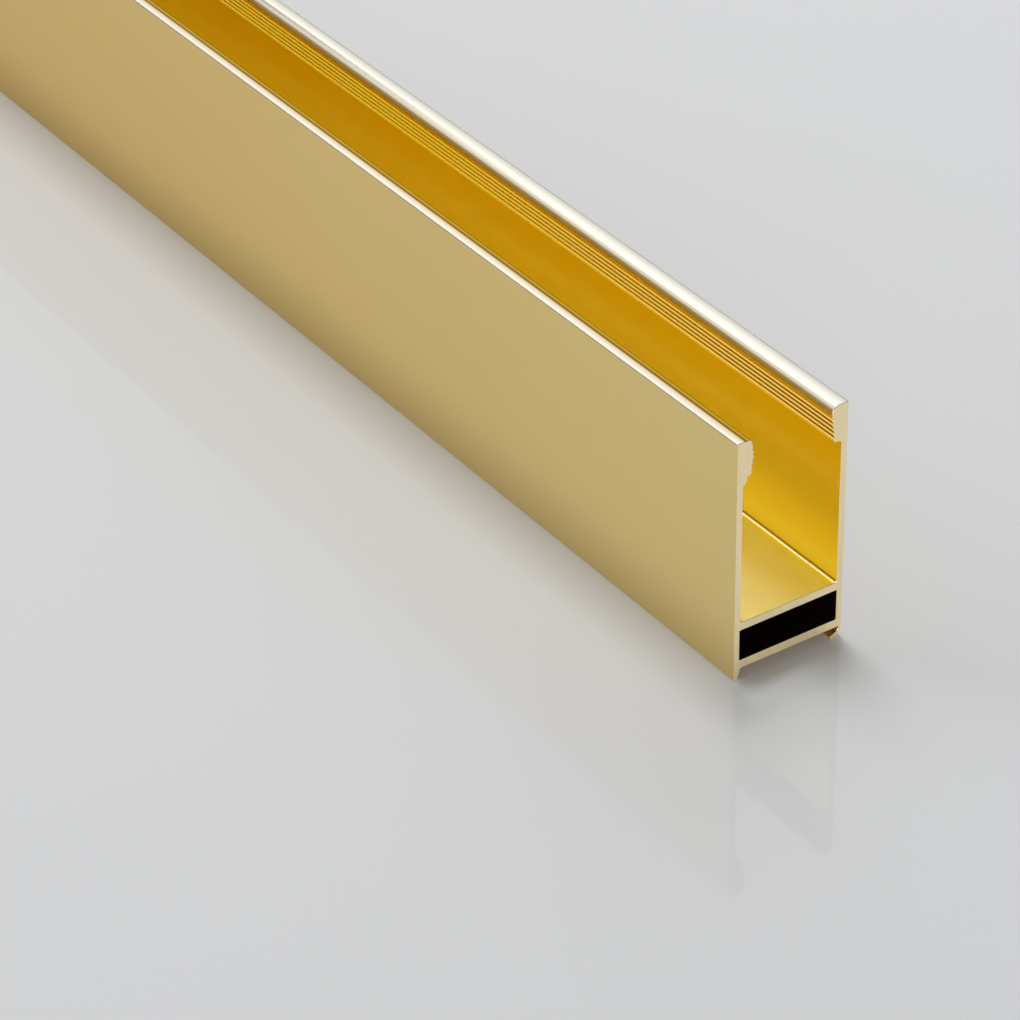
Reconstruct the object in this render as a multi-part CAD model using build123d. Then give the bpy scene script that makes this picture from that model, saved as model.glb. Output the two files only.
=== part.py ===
from build123d import *
import os
from collections import namedtuple
from math import cos, radians, sin, sqrt

# A length of anodised aluminium glazing channel, extruded in one piece.
# Its section is a deep open pocket for a glass pane over a closed chamber, with serrated lips
# at the mouth of the pocket, a plain foot under one side and a hooked foot under the other.
# The section is drawn across (Y) and up (Z) and extruded along X. All sizes are millimetres.

# Length and outer width
length = 1000.0
width = 20.0

# Heights of the section, from the ground up
foot_height = 1.8
base_thickness = 1.5
chamber_height = 5.3
web_thickness = 1.4
pocket_depth = 31.4

# Walls beside the pocket and beside the chamber
pocket_wall = 1.15
chamber_wall = 1.05

# Lips: thickness is counted from the outer face, depth from the top.
# Each lip is thickest at its nose and thins from there to its toe.
lip_toe_radius = 0.34
outer_edge_radius = 0.2

# Hook side (+Y) lip: a wide quarter round, then a short upright face down to the nose
hook_lip_depth = 6.35
hook_lip_top = 3.0
hook_lip_nose = 3.0
hook_lip_nose_depth = 2.0
hook_lip_toe = 2.42
hook_lip_radius = 1.35
hook_first_groove = 2.2

# Plain side (-Y) lip: a tight round, then a face that leans out to the nose
plain_lip_depth = 6.1
plain_lip_top = 2.55
plain_lip_nose = 3.0
plain_lip_nose_depth = 2.65
plain_lip_toe = 2.6
plain_lip_radius = 0.6
plain_first_groove = 1.85

# Shoulder below the plain side lip
shoulder_thickness = 1.9
shoulder_height = 0.6
shoulder_run_out = 1.0

# Serrations: square-cornered grooves that leave narrow lands between them
groove_count = 5
groove_pitch = 0.85
groove_depth = 0.2

# Fillets inside the section
pocket_corner_radius = 0.5
lip_root_radius = 0.4
chamber_corner_radius = 0.15
shoulder_edge_radius = 0.3

# Plain foot (-Y), a wedge that widens up to the base
plain_foot_tip = 0.8
plain_foot_root = 1.3
plain_foot_edge_radius = 0.1
plain_foot_root_radius = 0.25

# Hooked foot (+Y): it leaves the wall, turns inward and ends in a round tip on the ground
hook_thickness = 0.55
hook_turn_radius = 1.0
hook_turn_degrees = 62.0
hook_straight = 1.0

# Levels and half widths that follow from the sizes above
base_top = foot_height + base_thickness
web_bottom = base_top + chamber_height
pocket_floor = web_bottom + web_thickness
top = pocket_floor + pocket_depth
half = width / 2
PLAIN = -1
HOOK = 1

# One lip: the side it stands on, its thicknesses and depths, its inner radius and its first groove
Lip = namedtuple("Lip", "side top nose nose_depth toe depth radius first_groove")
hook_lip = Lip(
    HOOK, hook_lip_top, hook_lip_nose, hook_lip_nose_depth,
    hook_lip_toe, hook_lip_depth, hook_lip_radius, hook_first_groove,
)
plain_lip = Lip(
    PLAIN, plain_lip_top, plain_lip_nose, plain_lip_nose_depth,
    plain_lip_toe, plain_lip_depth, plain_lip_radius, plain_first_groove,
)


def place(side, thickness, depth):
    """Section point from its distance to one outer face and its depth below the top."""
    return (side * (half - thickness), top - depth)


def rectangle(low, high):
    """Rectangle between two corners of the section."""
    centre = ((low[0] + high[0]) / 2, (low[1] + high[1]) / 2)
    return Pos(*centre) * Rectangle(high[0] - low[0], high[1] - low[1])


def rounded_outline(points, radii):
    """Face inside a closed outline, with one radius for each corner."""
    return make_face(FilletPolyline(*points, radius=radii, close=True).edges())


def trough():
    """Base, chamber, web and the two walls up to the underside of the lips."""
    body = rectangle((-half, foot_height), (half, top - hook_lip_depth))
    pocket_half = half - pocket_wall
    body -= rectangle((-pocket_half, pocket_floor), (pocket_half, top))
    chamber_half = half - chamber_wall
    chamber = rectangle((-chamber_half, base_top), (chamber_half, web_bottom))
    return body - fillet(chamber.vertices(), chamber_corner_radius)


def face_thickness(lip, depth):
    """Lip thickness at a depth, on the two straight faces that meet at the nose."""
    if depth < lip.nose_depth:
        return lip.top + (lip.nose - lip.top) * depth / lip.nose_depth
    return lip.nose + (lip.toe - lip.nose) * (depth - lip.nose_depth) / (lip.depth - lip.nose_depth)


def serrations(lip):
    """Square cutters turned by 45 degrees and centred on the lip's face."""
    cutter = Rectangle(groove_depth * sqrt(2), groove_depth * sqrt(2), rotation=45)
    cuts = Sketch()
    for index in range(groove_count):
        depth = lip.first_groove + index * groove_pitch
        cuts += Pos(*place(lip.side, face_thickness(lip, depth), depth)) * cutter
    return cuts


def serrated_lip(lip):
    """One lip: flat top, rounded inner edge, nose, serrated taper and rounded toe."""
    corners = [(0, 0), (lip.top, 0), (lip.nose, lip.nose_depth), (lip.toe, lip.depth), (0, lip.depth)]
    radii = [outer_edge_radius, lip.radius, 0, lip_toe_radius, 0]
    outline = rounded_outline([place(lip.side, *corner) for corner in corners], radii)
    return outline - serrations(lip)


def shoulder():
    """Step and run-out between the plain side lip and its wall."""
    start = plain_lip_depth
    bottom = start + shoulder_height
    end = bottom + shoulder_run_out
    step = shoulder_thickness
    corners = [(0, start), (step, start), (step, bottom), (pocket_wall, end), (0, end)]
    return rounded_outline([place(PLAIN, *corner) for corner in corners], [0, 0, shoulder_edge_radius, 0, 0])


def plain_foot():
    """Wedge that stands on the ground under the -Y wall."""
    outer = -half
    tip = outer + plain_foot_tip
    root = outer + plain_foot_root
    corners = [(outer, foot_height), (outer, 0), (tip, 0), (root, foot_height)]
    return rounded_outline(corners, [0, outer_edge_radius, plain_foot_edge_radius, 0])


def hooked_foot():
    """Hook under the +Y wall: straight down, round the turn, then straight in to the tip."""
    turn = radians(hook_turn_degrees)
    tip_radius = hook_thickness / 2
    turn_end = tip_radius + hook_straight * cos(turn)
    turn_start = turn_end + hook_turn_radius * sin(turn)
    outer = half - tip_radius
    bend_start = (outer, turn_start)
    bend_end = (outer - hook_turn_radius * (1 - cos(turn)), turn_end)
    down = Line((outer, base_top), bend_start)
    bend = TangentArc(bend_start, bend_end, tangent=(0, -1))
    run = PolarLine(bend @ 1, hook_straight, direction=bend % 1)
    band = trace(down + bend + run, hook_thickness)
    return band + Pos(*(run @ 1)) * Circle(tip_radius)


def round_corner(face, point, radius):
    """Fillet of the face's corner that lies nearest to a point."""
    return fillet(face.vertices().sort_by_distance(Vector(*point))[0], radius)


def section():
    """The whole cross-section as one face."""
    face = trough() + plain_foot() + hooked_foot() + shoulder()
    face += serrated_lip(hook_lip)
    face += serrated_lip(plain_lip)
    pocket_half = half - pocket_wall
    face = round_corner(face, (pocket_half, pocket_floor), pocket_corner_radius)
    face = round_corner(face, (-pocket_half, pocket_floor), pocket_corner_radius)
    face = round_corner(face, (-half + plain_foot_root, foot_height), plain_foot_root_radius)
    return round_corner(face, place(HOOK, pocket_wall, hook_lip_depth), lip_root_radius)


def channel_profile():
    """The section extruded to the stock length, centred on the origin along X."""
    return extrude(Plane.YZ * section(), amount=length / 2, both=True)


os.makedirs("parts", exist_ok=True)
export_step(channel_profile(), "parts/channel_profile.step")
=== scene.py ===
import math

import bpy
from mathutils import Matrix, Vector
from mathutils.geometry import tessellate_polygon


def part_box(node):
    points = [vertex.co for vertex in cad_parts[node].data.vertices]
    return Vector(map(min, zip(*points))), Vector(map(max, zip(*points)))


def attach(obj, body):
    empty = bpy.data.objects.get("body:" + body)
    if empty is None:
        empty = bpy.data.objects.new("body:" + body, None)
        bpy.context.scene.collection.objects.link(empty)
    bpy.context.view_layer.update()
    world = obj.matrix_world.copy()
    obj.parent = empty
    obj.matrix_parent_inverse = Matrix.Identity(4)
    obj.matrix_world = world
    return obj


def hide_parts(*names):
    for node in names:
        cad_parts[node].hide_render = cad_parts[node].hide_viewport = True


# A length of gold-anodised aluminium glazing channel, seen from above its near end. Metres throughout.
MM = 0.001

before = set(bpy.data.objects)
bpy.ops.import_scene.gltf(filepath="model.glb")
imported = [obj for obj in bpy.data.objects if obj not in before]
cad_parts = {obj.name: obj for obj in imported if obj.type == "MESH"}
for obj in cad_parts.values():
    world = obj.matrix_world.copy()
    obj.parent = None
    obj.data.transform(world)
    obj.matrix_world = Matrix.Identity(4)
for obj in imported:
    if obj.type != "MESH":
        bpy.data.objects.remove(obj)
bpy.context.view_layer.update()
LOW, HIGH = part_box("channel_profile")

# Overall sizes and both ends, from the solid
HALF = HIGH[1]
TOP = HIGH[2]
NEAR_END = HIGH[0]
FAR_END = LOW[0]

# Levels and walls of the section
FOOT_HEIGHT = 1.8 * MM
BASE_THICKNESS = 1.5 * MM
CHAMBER_HEIGHT = 5.3 * MM
WEB_THICKNESS = 1.4 * MM
CHAMBER_FLOOR = FOOT_HEIGHT + BASE_THICKNESS
CHAMBER_ROOF = CHAMBER_FLOOR + CHAMBER_HEIGHT
POCKET_FLOOR = CHAMBER_ROOF + WEB_THICKNESS
POCKET_WALL = 1.15 * MM
CHAMBER_WALL = 1.05 * MM

# Lips: thickness from the outer face, depth from the top
HOOK_LIP = {
    "top": 3.0 * MM,
    "nose": 3.0 * MM,
    "nose_depth": 2.0 * MM,
    "toe": 2.42 * MM,
    "depth": 6.35 * MM,
    "radius": 1.35 * MM,
    "first_groove": 2.2 * MM,
}
PLAIN_LIP = {
    "top": 2.55 * MM,
    "nose": 3.0 * MM,
    "nose_depth": 2.65 * MM,
    "toe": 2.6 * MM,
    "depth": 6.1 * MM,
    "radius": 0.6 * MM,
    "first_groove": 1.85 * MM,
}
TOE_RADIUS = 0.34 * MM
OUTER_EDGE_RADIUS = 0.2 * MM

# Serrations
GROOVE_COUNT = 5
GROOVE_PITCH = 0.85 * MM
GROOVE_DEPTH = 0.2 * MM
GROOVE_EDGE_RADIUS = 0.035 * MM

# Shoulder below the plain side lip
SHOULDER = 1.9 * MM
SHOULDER_HEIGHT = 0.6 * MM
SHOULDER_RUN_OUT = 1.0 * MM
SHOULDER_RADIUS = 0.3 * MM
SHOULDER_CREASE = 0.05 * MM

# Rounds inside the section
LIP_ROOT_RADIUS = 0.4 * MM
POCKET_CORNER_RADIUS = 0.5 * MM
CHAMBER_RADIUS = 0.15 * MM

# Plain foot
FOOT_TIP = 0.8 * MM
FOOT_ROOT = 1.3 * MM
FOOT_EDGE_RADIUS = 0.1 * MM
FOOT_ROOT_RADIUS = 0.25 * MM

# Hooked foot: its tip is a shade less than a full round, so that both of its corners fit
HOOK_THICKNESS = 0.55 * MM
HOOK_RADIUS = 1.0 * MM
HOOK_TURN = math.radians(62.0)
HOOK_STRAIGHT = 1.0 * MM
TIP_ROUNDNESS = 0.999

# Mesh fineness, the tiny break along each saw cut, and the turn and the gap that count as none
ARC_STEP = math.radians(7.5)
CUT_BREAK = 0.05 * MM
STATIONS = 25
NO_TURN = 1e-6
NO_GAP = 1e-9

# Material slots of the bar
OUTSIDE, POCKET, POCKET_BED, HOOK_TOP, PLAIN_TOP, RIDGE, LAND, CHAMBER, CUT = range(9)

# Where they change: how high the bed's rounded corners count as bed, how much a normal rises on a bright
# flank and on a top, and how far above its underside a lip's toe starts
BED_HEIGHT = 0.3 * MM
FLANK_RISE = 0.6
TOP_RISE = 0.05
TOE_HEIGHT = 1.1 * TOE_RADIUS

# Base colours across both lip tops and the bed, by place across the bar plus height over its top, in
# millimetres: the tops are painted pale as a highlight, between gold edges and lines painted dark as
# shade, and the bed is painted pale with light, palest towards its corners as a painted highlight
HOOK_TOP_PAINTED_LIGHT = [
    (5.6, (0.98, 0.66, 0.05)),
    (6.1, (1.0, 0.82, 0.42)),
    (6.8, (0.66, 0.53, 0.34)),
    (7.2, (0.60, 0.55, 0.45)),
    (8.4, (0.80, 0.78, 0.70)),
    (9.7, (0.52, 0.49, 0.45)),
    (9.85, (0.30, 0.28, 0.25)),
]
PLAIN_TOP_PAINTED_LIGHT = [
    (-9.95, (0.54, 0.48, 0.39)),
    (-9.8, (0.80, 0.75, 0.67)),
    (-8.9, (0.66, 0.54, 0.39)),
    (-8.7, (0.54, 0.42, 0.25)),
    (-8.55, (0.12, 0.06, 0.0)),
    (-8.4, (0.12, 0.06, 0.0)),
    (-8.25, (0.35, 0.20, 0.0)),
    (-7.4, (0.68, 0.46, 0.03)),
]
BED_PAINTED_LIGHT = [
    (-37.5, (0.95, 0.87, 0.74)),
    (-35.4, (0.88, 0.83, 0.66)),
    (-27.4, (0.99, 0.88, 0.62)),
    (-24.4, (1.0, 0.97, 0.94)),
    (-23.0, (1.0, 0.88, 0.56)),
]

# Roughness of the hook lip's steep inner round and of both tops, and the places, measured in the same way,
# between which the first turns into the second
INNER_ROUGHNESS = 0.5
TOP_ROUGHNESS = 0.25
DULL_END = 6.1
POLISHED_START = 6.9

# Base colours between which a soft pattern varies: deep along the bar, and paler at its near end, which is
# a painted sheen of light
OUTER_DEEP = [(0.715, 0.475, 0.085), (0.745, 0.495, 0.100)]
OUTER_PAINTED_SHEEN = [(0.82, 0.62, 0.22), (0.84, 0.64, 0.245)]
# The pocket's deeper, brighter gold is painted reflection of its gold walls in each other
POCKET_DEEP = [(0.885, 0.66, 0.07), (0.915, 0.69, 0.085)]
POCKET_PAINTED_SHEEN = [(0.975, 0.79, 0.12), (1.0, 0.82, 0.14)]
SAWN_GOLD = [(0.99, 0.82, 0.505), (1.0, 0.865, 0.57)]
# The chamber's dark gold is painted shade
CHAMBER_PAINTED_SHADE = [(0.16, 0.11, 0.07), (0.20, 0.14, 0.09)]
FLOOR_GREY = [(0.915, 0.93, 0.95), (0.935, 0.945, 0.96)]

# Base colours of the serrations: one gold far away, and at the near end a painted highlight on the ridges
# and painted shade on the lands
GROOVE_FAR = (0.66, 0.43, 0.03)
RIDGE_PAINTED_HIGHLIGHT = (0.79, 0.49, 0.12)
LAND_PAINTED_SHADE = (0.35, 0.20, 0.0)

# Places along the bar where the painted sheen on its walls starts, and between which the painted highlight
# and shade of its serrations come in
PAINTED_SHEEN_START = NEAR_END - 220 * MM
DISTINCT_START = NEAR_END - 100 * MM
DISTINCT_END = NEAR_END - 10 * MM

# Tint of the light that glances off each finish
POCKET_TINT = (1.0, 0.9, 0.3, 1)
TOP_TINT = (1.0, 0.97, 0.8, 1)
SERRATION_TINT = (1.0, 0.9, 0.4, 1)

# Patterns as (scale, detail, roughness, stretch), and the height of the relief that they stand for
CLOUD = (60, 3, 0.6, (0.35, 1, 1))
DIE_LINES = (900, 2, 0.5, (0.004, 1, 1))
BED_LINES = (700, 1, 0.4, (0.0005, 1, 1))
SAW_MARKS = (700, 2, 0.5, (1, 1, 0.05))
FLOOR_CLOUD = (3, 2, 0.5, (1, 1, 1))
RELIEF = 0.02 * MM

# Sockets of the node that mixes two colours
MIX_FACTOR, MIX_FIRST, MIX_SECOND = 0, 6, 7
MIX_RESULT = 2

# Studio: softboxes as (name, azimuth, elevation, size, distance, level), and the place that they aim at
SOFTBOXES = [
    ("back_right_softbox", 143, 34, (1.1, 0.95), 1.6, 1.18),
    ("back_left_softbox", 217, 34, (1.1, 0.95), 1.6, 1.1),
    ("back_middle_softbox", 183, 55, (0.9, 0.7), 1.6, 1.7),
    ("top_softbox", 160, 74, (0.36, 0.36), 1.4, 12.0),
    ("low_fill", -15, 6, (1.8, 0.45), 1.6, 7.0),
]
SURROUND = 0.15
AIM = Vector((NEAR_END - 100 * MM, 0, 0))
FLOOR_REACH = 6.0

# Camera: place from the near end, angles in degrees, lens and sensor in millimetres
CAMERA_PLACE = (NEAR_END + 0.38607, -0.30616, 0.35764)
CAMERA_AZIMUTH = 56.32
CAMERA_PITCH = 33.93
CAMERA_ROLL = -1.047
LENS = 144.54
SENSOR = 36
CLIP_START = 10 * MM


def arc_corner(before, corner, after, radius):
    """Points and normals of a corner rounded to a radius, for an outline with its material on the left."""
    into = (corner - before).normalized()
    out = (after - corner).normalized()
    turn = math.atan2(into.x * out.y - into.y * out.x, into.dot(out))
    if radius == 0 or abs(turn) < NO_TURN:
        return [(corner, Vector((into.y, -into.x))), (corner, Vector((out.y, -out.x)))]
    side = math.copysign(1, turn)
    start = corner - into * radius * math.tan(abs(turn) / 2)
    centre = start + Vector((-into.y, into.x)) * radius * side
    steps = max(2, math.ceil(abs(turn) / ARC_STEP))
    points = []
    for step in range(steps + 1):
        angle = turn * step / steps
        normal = Vector((into.y, -into.x))
        normal.rotate(Matrix.Rotation(angle, 2))
        points.append((centre + normal * radius * side, normal))
    return points


def outline(corners):
    """Closed outline of (point, normal before, normal after) from (y, z, radius) corners."""
    places = [Vector(corner[:2]) for corner in corners]
    count = len(places)
    ring = []
    for index, corner in enumerate(corners):
        before = places[index - 1]
        after = places[(index + 1) % count]
        points = arc_corner(before, places[index], after, corner[2])
        if (points[0][0] - points[-1][0]).length < NO_GAP:
            ring.append((points[0][0], points[0][1], points[-1][1]))
            continue
        ring.extend((point, normal, normal) for point, normal in points)
    return ring


def lip_face(lip, depth):
    """Lip thickness at a depth, on the two straight faces that meet at the nose."""
    if depth < lip["nose_depth"]:
        return lip["top"] + (lip["nose"] - lip["top"]) * depth / lip["nose_depth"]
    share = (depth - lip["nose_depth"]) / (lip["depth"] - lip["nose_depth"])
    return lip["nose"] + (lip["toe"] - lip["nose"]) * share


def lip_corners(side, lip):
    """Corners of one lip from its outer edge over the top and down the serrations to its toe."""

    def at(thickness, depth, radius):
        """Corner at a distance from the outer face and a depth below the top."""
        return (side * (HALF - thickness), TOP - depth, radius)

    teeth = []
    centres = [lip["first_groove"] + index * GROOVE_PITCH for index in range(GROOVE_COUNT)]
    for depth in centres:
        upper = depth - GROOVE_DEPTH
        lower = depth + GROOVE_DEPTH
        teeth.append(at(lip_face(lip, upper), upper, GROOVE_EDGE_RADIUS))
        teeth.append(at(lip_face(lip, depth) - GROOVE_DEPTH, depth, GROOVE_EDGE_RADIUS))
        teeth.append(at(lip_face(lip, lower), lower, GROOVE_EDGE_RADIUS))
    # The nose is a corner only where no groove cuts it away
    clear_of_grooves = GROOVE_DEPTH * 1.01
    if all(abs(depth - lip["nose_depth"]) > clear_of_grooves for depth in centres):
        teeth.append(at(lip["nose"], lip["nose_depth"], 0))
    teeth.sort(key=lambda corner: -corner[1])
    over = [at(0, 0, OUTER_EDGE_RADIUS), at(lip["top"], 0, lip["radius"])]
    return over + teeth + [at(lip["toe"], lip["depth"], TOE_RADIUS)]


def plain_foot_corners():
    """Corners of the plain foot from its outer edge round its tip to the base."""
    return [
        (-HALF, 0, OUTER_EDGE_RADIUS),
        (-HALF + FOOT_TIP, 0, FOOT_EDGE_RADIUS),
        (-HALF + FOOT_ROOT, FOOT_HEIGHT, FOOT_ROOT_RADIUS),
    ]


def hook_corners():
    """Corners of the hooked foot from the underside of the base round the tip to the outer face."""
    inward = math.sin(HOOK_TURN)
    down = math.cos(HOOK_TURN)
    tip = HOOK_THICKNESS / 2
    tip_radius = tip * TIP_ROUNDNESS
    centre_y = HALF - tip - HOOK_RADIUS * (1 - down) - HOOK_STRAIGHT * inward
    inner = (HALF - HOOK_THICKNESS - centre_y + down * tip) / inward
    outer = (HALF - centre_y - down * tip) / inward
    return [
        (HALF - HOOK_THICKNESS, FOOT_HEIGHT, 0),
        (HALF - HOOK_THICKNESS, tip + inward * tip + down * inner, HOOK_RADIUS - tip),
        (centre_y - inward * tip - down * tip, tip - down * tip + inward * tip, tip_radius),
        (centre_y - inward * tip + down * tip, tip - down * tip - inward * tip, tip_radius),
        (HALF, tip - inward * tip + down * outer, HOOK_RADIUS + tip),
    ]


def pocket_corners():
    """Corners of the pocket from the hook side lip's root down, across and up to the plain side lip."""
    wall = HALF - POCKET_WALL
    step = -(HALF - SHOULDER)
    under = TOP - PLAIN_LIP["depth"]
    ledge = under - SHOULDER_HEIGHT
    return [
        (wall, TOP - HOOK_LIP["depth"], LIP_ROOT_RADIUS),
        (wall, POCKET_FLOOR, POCKET_CORNER_RADIUS),
        (-wall, POCKET_FLOOR, POCKET_CORNER_RADIUS),
        (-wall, ledge - SHOULDER_RUN_OUT, SHOULDER_RADIUS),
        (step, ledge, SHOULDER_RADIUS),
        (step, under, SHOULDER_CREASE),
    ]


def outer_ring():
    """The section's outer outline, anticlockwise seen from the near end."""
    feet = plain_foot_corners() + hook_corners()
    hook_side_lip = lip_corners(1, HOOK_LIP)
    plain_side_lip = lip_corners(-1, PLAIN_LIP)[::-1]
    return outline(feet + hook_side_lip + pocket_corners() + plain_side_lip)


def chamber_ring():
    """The chamber's outline, clockwise so that the material stays on the left."""
    side = HALF - CHAMBER_WALL
    return outline([
        (-side, CHAMBER_FLOOR, CHAMBER_RADIUS),
        (-side, CHAMBER_ROOF, CHAMBER_RADIUS),
        (side, CHAMBER_ROOF, CHAMBER_RADIUS),
        (side, CHAMBER_FLOOR, CHAMBER_RADIUS),
    ])


def bevelled_stations():
    """(x, inset) of each ring along the bar, with a small break at both saw cuts."""
    start = FAR_END + CUT_BREAK
    length = NEAR_END - FAR_END - 2 * CUT_BREAK
    inner = [(start + length * index / (STATIONS - 1), 0) for index in range(STATIONS)]
    return [(FAR_END, CUT_BREAK)] + inner + [(NEAR_END, CUT_BREAK)]


def cut_lean(inset, next_inset):
    """Direction along X in which the wall between two rings leans: out at a saw cut's break, else none."""
    if inset > next_inset:
        return -1
    return 1 if inset < next_inset else 0


def leaning(normal, lean):
    """Section normal as a unit vector in space, leaning along X on the break of a cut."""
    return Vector((lean, normal.x, normal.y)).normalized()


class Skin:
    """Collects vertices, faces, corner normals and materials of the bar."""

    def __init__(self):
        self.points = []
        self.faces = []
        self.normals = []
        self.slots = []

    def add_wall(self, ring, choose_slot):
        """Sweeps a ring along the bar and returns the vertex numbers of its first and last ring."""
        stations = bevelled_stations()
        start = len(self.points)
        for x, inset in stations:
            for point, before, after in ring:
                y, z = point - (before + after).normalized() * inset
                self.points.append((x, y, z))
        count = len(ring)
        sides = list(zip(ring, ring[1:] + ring[:1]))
        for row in range(len(stations) - 1):
            lean = cut_lean(stations[row][1], stations[row + 1][1])
            for index, (here, there) in enumerate(sides):
                a = start + row * count + index
                b = start + row * count + (index + 1) % count
                self.faces.append((a, b, b + count, a + count))
                first = leaning(here[2], lean)
                second = leaning(there[1], lean)
                self.normals.extend((first, second, second, first))
                middle = (here[0] + there[0]) / 2
                self.slots.append(choose_slot(middle, (here[2] + there[1]).normalized()))
        last = start + (len(stations) - 1) * count
        return list(range(start, start + count)), list(range(last, last + count))

    def add_cut(self, rings, direction, slot):
        """Closes one end with a flat face between the outer ring and the chamber's."""
        numbers = [number for ring in rings for number in ring]
        loops = [[Vector(self.points[number]) for number in ring] for ring in rings]
        places = [place for loop in loops for place in loop]
        for i, j, k in tessellate_polygon(loops):
            facing = (places[j] - places[i]).cross(places[k] - places[i])
            if facing.x * direction < 0:
                j, k = k, j
            self.faces.append((numbers[i], numbers[j], numbers[k]))
            self.normals.extend([Vector((direction, 0, 0))] * 3)
            self.slots.append(slot)


def serration_slot(lip, depth, normal):
    """Ridge gold, painted highlight, on flanks that face up and on the toe; land gold, painted shade, on
    the rest down to the last groove.
    """
    last_groove = lip["first_groove"] + (GROOVE_COUNT - 1) * GROOVE_PITCH
    if normal.y > FLANK_RISE or depth > lip["depth"] - TOE_HEIGHT:
        return RIDGE
    return LAND if depth < last_groove else POCKET


def outer_slot(place, normal):
    """Material slot of the outer outline at a point of the section."""
    lip = HOOK_LIP if place.x > 0 else PLAIN_LIP
    depth = TOP - place.y
    if depth < lip["radius"] and normal.y > TOP_RISE:
        return HOOK_TOP if place.x > 0 else PLAIN_TOP
    if place.y < POCKET_FLOOR - MM or abs(place.x) > HALF - CHAMBER_WALL:
        return OUTSIDE
    if lip["first_groove"] - GROOVE_DEPTH < depth < lip["depth"]:
        return serration_slot(lip, depth, normal)
    return POCKET_BED if place.y < POCKET_FLOOR + BED_HEIGHT else POCKET


def build_bar(materials):
    """The whole bar as one mesh."""
    skin = Skin()
    outer_far, outer_near = skin.add_wall(outer_ring(), outer_slot)
    inner_far, inner_near = skin.add_wall(chamber_ring(), lambda place, normal: CHAMBER)
    skin.add_cut([outer_near, inner_near], 1, CUT)
    skin.add_cut([outer_far, inner_far], -1, CUT)
    mesh = bpy.data.meshes.new("channel_bar")
    mesh.from_pydata(skin.points, [], skin.faces)
    for material in materials:
        mesh.materials.append(material)
    mesh.polygons.foreach_set("material_index", skin.slots)
    mesh.polygons.foreach_set("use_smooth", [True] * len(skin.faces))
    mesh.normals_split_custom_set(skin.normals)
    bar = bpy.data.objects.new("channel_bar", mesh)
    bpy.context.scene.collection.objects.link(bar)
    return bar


class Nodes:
    """Short calls for building a material's node tree."""

    def __init__(self, name, metallic=1.0):
        self.material = bpy.data.materials.new(name)
        self.material.use_nodes = True
        self.tree = self.material.node_tree
        self.shader = self.tree.nodes["Principled BSDF"]
        self.set("Metallic", metallic)

    def set(self, name, value):
        """Gives one of the shader's own sockets an even value."""
        self.shader.inputs[name].default_value = value

    def new(self, kind, **settings):
        node = self.tree.nodes.new(kind)
        for key, value in settings.items():
            setattr(node, key, value)
        return node

    def link(self, output, socket):
        self.tree.links.new(output, socket)

    def place(self):
        """A point's place in the object's own coordinates."""
        return self.new("ShaderNodeTexCoord").outputs["Object"]

    def noise(self, scale, detail, roughness, stretch):
        """Noise in the object's own coordinates, stretched along an axis."""
        mapping = self.new("ShaderNodeMapping")
        mapping.inputs["Scale"].default_value = stretch
        texture = self.new("ShaderNodeTexNoise")
        texture.inputs["Scale"].default_value = scale
        texture.inputs["Detail"].default_value = detail
        texture.inputs["Roughness"].default_value = roughness
        self.link(self.place(), mapping.inputs["Vector"])
        self.link(mapping.outputs["Vector"], texture.inputs["Vector"])
        return texture.outputs["Fac"]

    def share(self, direction, low, high):
        """0 to 1 between two measures of a point's place along a direction."""
        measure = self.new("ShaderNodeVectorMath", operation="DOT_PRODUCT")
        measure.inputs[1].default_value = direction
        self.link(self.place(), measure.inputs[0])
        node = self.new("ShaderNodeMapRange")
        node.inputs["From Min"].default_value = low
        node.inputs["From Max"].default_value = high
        self.link(measure.outputs["Value"], node.inputs["Value"])
        return node.outputs["Result"]

    def along(self, start, end):
        """0 at one place along the bar to 1 at another."""
        return self.share((1, 0, 0), start, end)

    def across(self, low, high):
        """0 at one place across the bar plus height over its top, in millimetres, to 1 at another."""
        return self.share((0, 1 / MM, 1 / MM), TOP / MM + low, TOP / MM + high)

    def blend(self, factor, first, second):
        """Colour between two colours, which are values or come from other nodes."""
        node = self.new("ShaderNodeMix", data_type="RGBA")
        self.link(factor, node.inputs[MIX_FACTOR])
        for index, colour in ((MIX_FIRST, first), (MIX_SECOND, second)):
            if isinstance(colour, tuple):
                node.inputs[index].default_value = (*colour, 1)
            else:
                self.link(colour, node.inputs[index])
        return node.outputs[MIX_RESULT]

    def graded(self, stops):
        """Colour through stops at places across the bar."""
        low = stops[0][0]
        high = stops[-1][0]
        ramp = self.new("ShaderNodeValToRGB")
        elements = ramp.color_ramp.elements
        elements[0].color = (*stops[0][1], 1)
        elements[1].color = (*stops[-1][1], 1)
        for where, colour in stops[1:-1]:
            elements.new((where - low) / (high - low)).color = (*colour, 1)
        self.link(self.across(low, high), ramp.inputs["Fac"])
        return ramp.outputs["Color"]

    def base(self, colour):
        """Takes the base colour from another node."""
        self.link(colour, self.shader.inputs["Base Color"])

    def roughness(self, pattern, low, high):
        """Lets the roughness follow a pattern from low to high."""
        node = self.new("ShaderNodeMapRange")
        node.inputs["To Min"].default_value = low
        node.inputs["To Max"].default_value = high
        self.link(pattern, node.inputs["Value"])
        self.link(node.outputs["Result"], self.shader.inputs["Roughness"])

    def coat(self, weight, roughness):
        """Adds a clear coat."""
        self.set("Coat Weight", weight)
        self.set("Coat Roughness", roughness)

    def bump(self, pattern, strength):
        """Raises a pattern as fine relief."""
        node = self.new("ShaderNodeBump")
        node.inputs["Strength"].default_value = strength
        node.inputs["Distance"].default_value = RELIEF
        self.link(pattern, node.inputs["Height"])
        self.link(node.outputs["Normal"], self.shader.inputs["Normal"])


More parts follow.
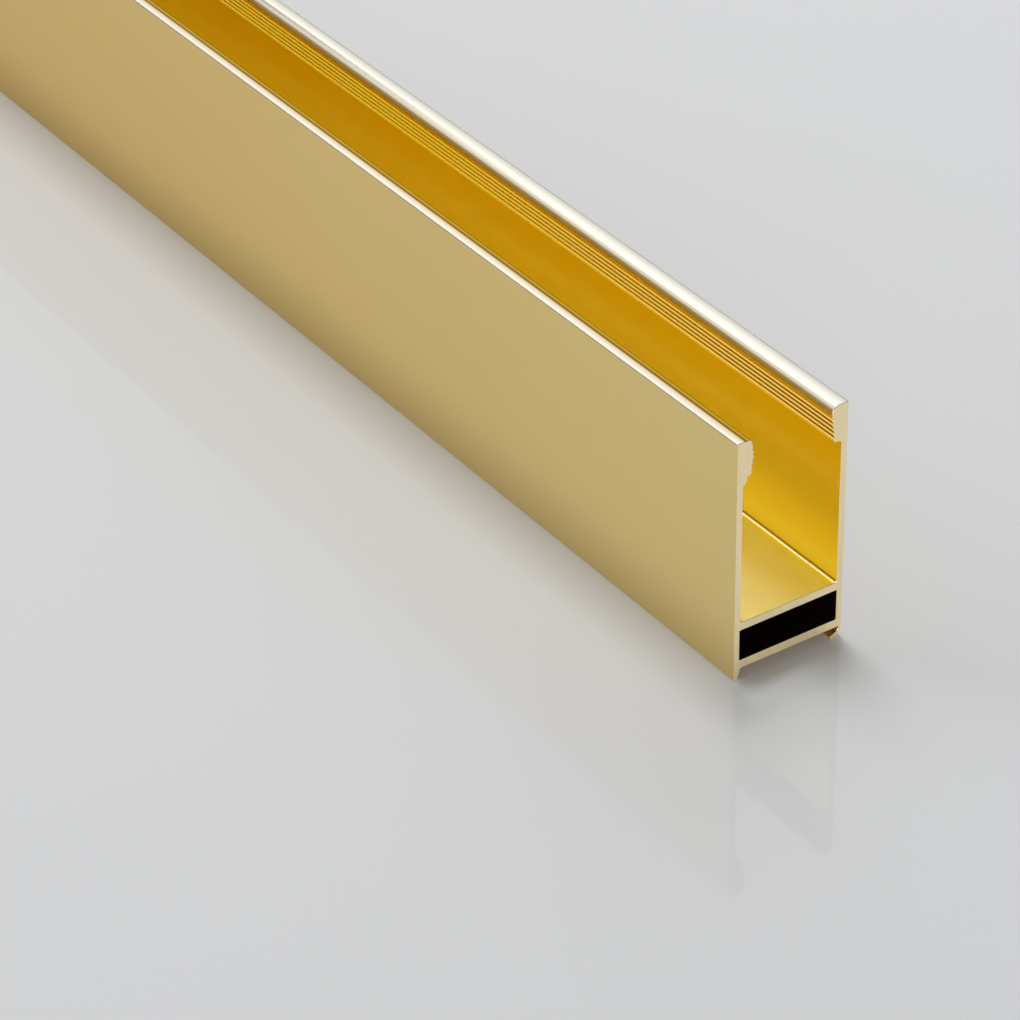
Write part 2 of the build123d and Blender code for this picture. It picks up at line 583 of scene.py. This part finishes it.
def wall_gold(name, deep, pale):
    """Nodes of a wall's gold, a little paler towards the near end as painted sheen, and the pattern of its
    die lines.
    """
    nodes = Nodes(name)
    cloud = nodes.noise(*CLOUD)
    deep_gold = nodes.blend(cloud, *deep)
    sheen_painted_gold = nodes.blend(cloud, *pale)
    nodes.base(nodes.blend(nodes.along(PAINTED_SHEEN_START, NEAR_END), deep_gold, sheen_painted_gold))
    return nodes, nodes.noise(*DIE_LINES)


def outer_gold():
    """Satin gold anodising over fine die lines."""
    nodes, lines = wall_gold("outer_gold", OUTER_DEEP, OUTER_PAINTED_SHEEN)
    nodes.roughness(lines, 0.20, 0.26)
    nodes.bump(lines, 0.15)
    nodes.coat(0.6, 0.15)
    return nodes.material


def pocket_gold():
    """Deeper, brighter gold inside the pocket, painted reflection of its walls in each other, with
    straight die lines.
    """
    nodes, lines = wall_gold("pocket_gold", POCKET_DEEP, POCKET_PAINTED_SHEEN)
    nodes.roughness(lines, 0.13, 0.18)
    nodes.bump(lines, 0.03)
    nodes.set("Specular Tint", POCKET_TINT)
    return nodes.material


def pocket_bed_painted_light():
    """Paler gold on the floor of the pocket, painted light that is palest as a highlight at its corners,
    with fine scored die lines.
    """
    nodes = Nodes("pocket_bed_painted_light")
    nodes.base(nodes.graded(BED_PAINTED_LIGHT))
    lines = nodes.noise(*BED_LINES)
    nodes.roughness(lines, 0.30, 0.36)
    nodes.bump(lines, 0.06)
    nodes.coat(0.4, 0.1)
    return nodes.material


def lip_top_gold(name, stops, inner_roughness):
    """Top of a lip painted bright as a highlight between edges painted dark as shade, over an inner round
    with its own roughness.
    """
    nodes = Nodes(name)
    nodes.base(nodes.graded(stops))
    nodes.roughness(nodes.across(DULL_END, POLISHED_START), inner_roughness, TOP_ROUGHNESS)
    nodes.set("Specular Tint", TOP_TINT)
    return nodes.material


def serration_gold(name, near):
    """Gold on one face of the serrations, painted as highlight or shade most distinctly beside the near
    end.
    """
    nodes = Nodes(name)
    nodes.base(nodes.blend(nodes.along(DISTINCT_START, DISTINCT_END), GROOVE_FAR, near))
    nodes.roughness(nodes.noise(*CLOUD), 0.20, 0.26)
    nodes.set("Specular Tint", SERRATION_TINT)
    return nodes.material


def chamber_skin():
    """The inside of the chamber, its gold painted dark as shade."""
    nodes = Nodes("chamber_skin")
    lines = nodes.noise(*DIE_LINES)
    nodes.base(nodes.blend(lines, *CHAMBER_PAINTED_SHADE))
    nodes.roughness(lines, 0.3, 0.4)
    return nodes.material


def sawn_end():
    """Paler, duller face of the saw cut."""
    nodes = Nodes("sawn_end")
    marks = nodes.noise(*SAW_MARKS)
    nodes.base(nodes.blend(marks, *SAWN_GOLD))
    nodes.roughness(marks, 0.42, 0.55)
    nodes.bump(marks, 0.3)
    return nodes.material


def floor_material():
    """Pale glossy studio floor."""
    nodes = Nodes("studio_floor", metallic=0.0)
    nodes.base(nodes.blend(nodes.noise(*FLOOR_CLOUD), *FLOOR_GREY))
    nodes.set("Roughness", 0.5)
    nodes.set("Specular IOR Level", 0.0)
    nodes.coat(0.5, 0.03)
    return nodes.material


def studio_floor():
    """Level floor under the bar, for the picture only."""
    signs = [(-1, -1), (1, -1), (1, 1), (-1, 1)]
    corners = [(x * FLOOR_REACH, y * FLOOR_REACH, 0) for x, y in signs]
    mesh = bpy.data.meshes.new("studio_floor")
    mesh.from_pydata(corners, [], [(0, 1, 2, 3)])
    mesh.materials.append(floor_material())
    floor = bpy.data.objects.new("studio_floor", mesh)
    bpy.context.scene.collection.objects.link(floor)


def softbox(name, place, size, power):
    """Rectangular area light that points at the bar."""
    light = bpy.data.lights.new(name, "AREA")
    light.shape = "RECTANGLE"
    light.size = size[0]
    light.size_y = size[1]
    light.energy = power
    lamp = bpy.data.objects.new(name, light)
    lamp.location = place
    lamp.rotation_euler = (AIM - place).to_track_quat("-Z", "Y").to_euler()
    lamp.visible_camera = False
    bpy.context.scene.collection.objects.link(lamp)


def toward(azimuth, elevation):
    """Unit vector at an azimuth from +X and an elevation, both in degrees."""
    turn = math.radians(azimuth)
    rise = math.radians(elevation)
    return Vector((math.cos(turn) * math.cos(rise), math.sin(turn) * math.cos(rise), math.sin(rise)))


def studio_lights():
    """Large softboxes behind and over the bar, a low fill from its near end and an even pale surround."""
    for name, azimuth, elevation, size, distance, level in SOFTBOXES:
        place = AIM + toward(azimuth, elevation) * distance
        softbox(name, place, size, math.pi * size[0] * size[1] * level)
    world = bpy.data.worlds.new("studio")
    world.use_nodes = True
    background = world.node_tree.nodes["Background"]
    background.inputs["Color"].default_value = (1, 1, 1, 1)
    background.inputs["Strength"].default_value = SURROUND
    bpy.context.scene.world = world


def photograph_camera():
    """The camera solved from the photograph, placed from the bar's near end."""
    camera = bpy.data.cameras.new("photograph")
    camera.lens = LENS
    camera.sensor_width = SENSOR
    camera.clip_start = CLIP_START
    holder = bpy.data.objects.new("photograph", camera)
    holder.location = CAMERA_PLACE
    turn = Matrix.Rotation(math.radians(CAMERA_AZIMUTH), 3, "Z")
    tip = Matrix.Rotation(math.pi / 2 - math.radians(CAMERA_PITCH), 3, "X")
    roll = Matrix.Rotation(math.radians(CAMERA_ROLL), 3, "Z")
    holder.rotation_euler = (turn @ tip @ roll).to_euler()
    bpy.context.scene.collection.objects.link(holder)
    bpy.context.scene.camera = holder


bar = build_bar([
    outer_gold(),
    pocket_gold(),
    pocket_bed_painted_light(),
    lip_top_gold("hook_lip_painted_light", HOOK_TOP_PAINTED_LIGHT, INNER_ROUGHNESS),
    lip_top_gold("plain_lip_painted_light", PLAIN_TOP_PAINTED_LIGHT, TOP_ROUGHNESS),
    serration_gold("ridge_highlight_gold", RIDGE_PAINTED_HIGHLIGHT),
    serration_gold("land_shade_gold", LAND_PAINTED_SHADE),
    chamber_skin(),
    sawn_end(),
])
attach(bar, "root")
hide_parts("channel_profile")
studio_floor()
studio_lights()
photograph_camera()
bpy.context.scene.view_settings.view_transform = "Standard"
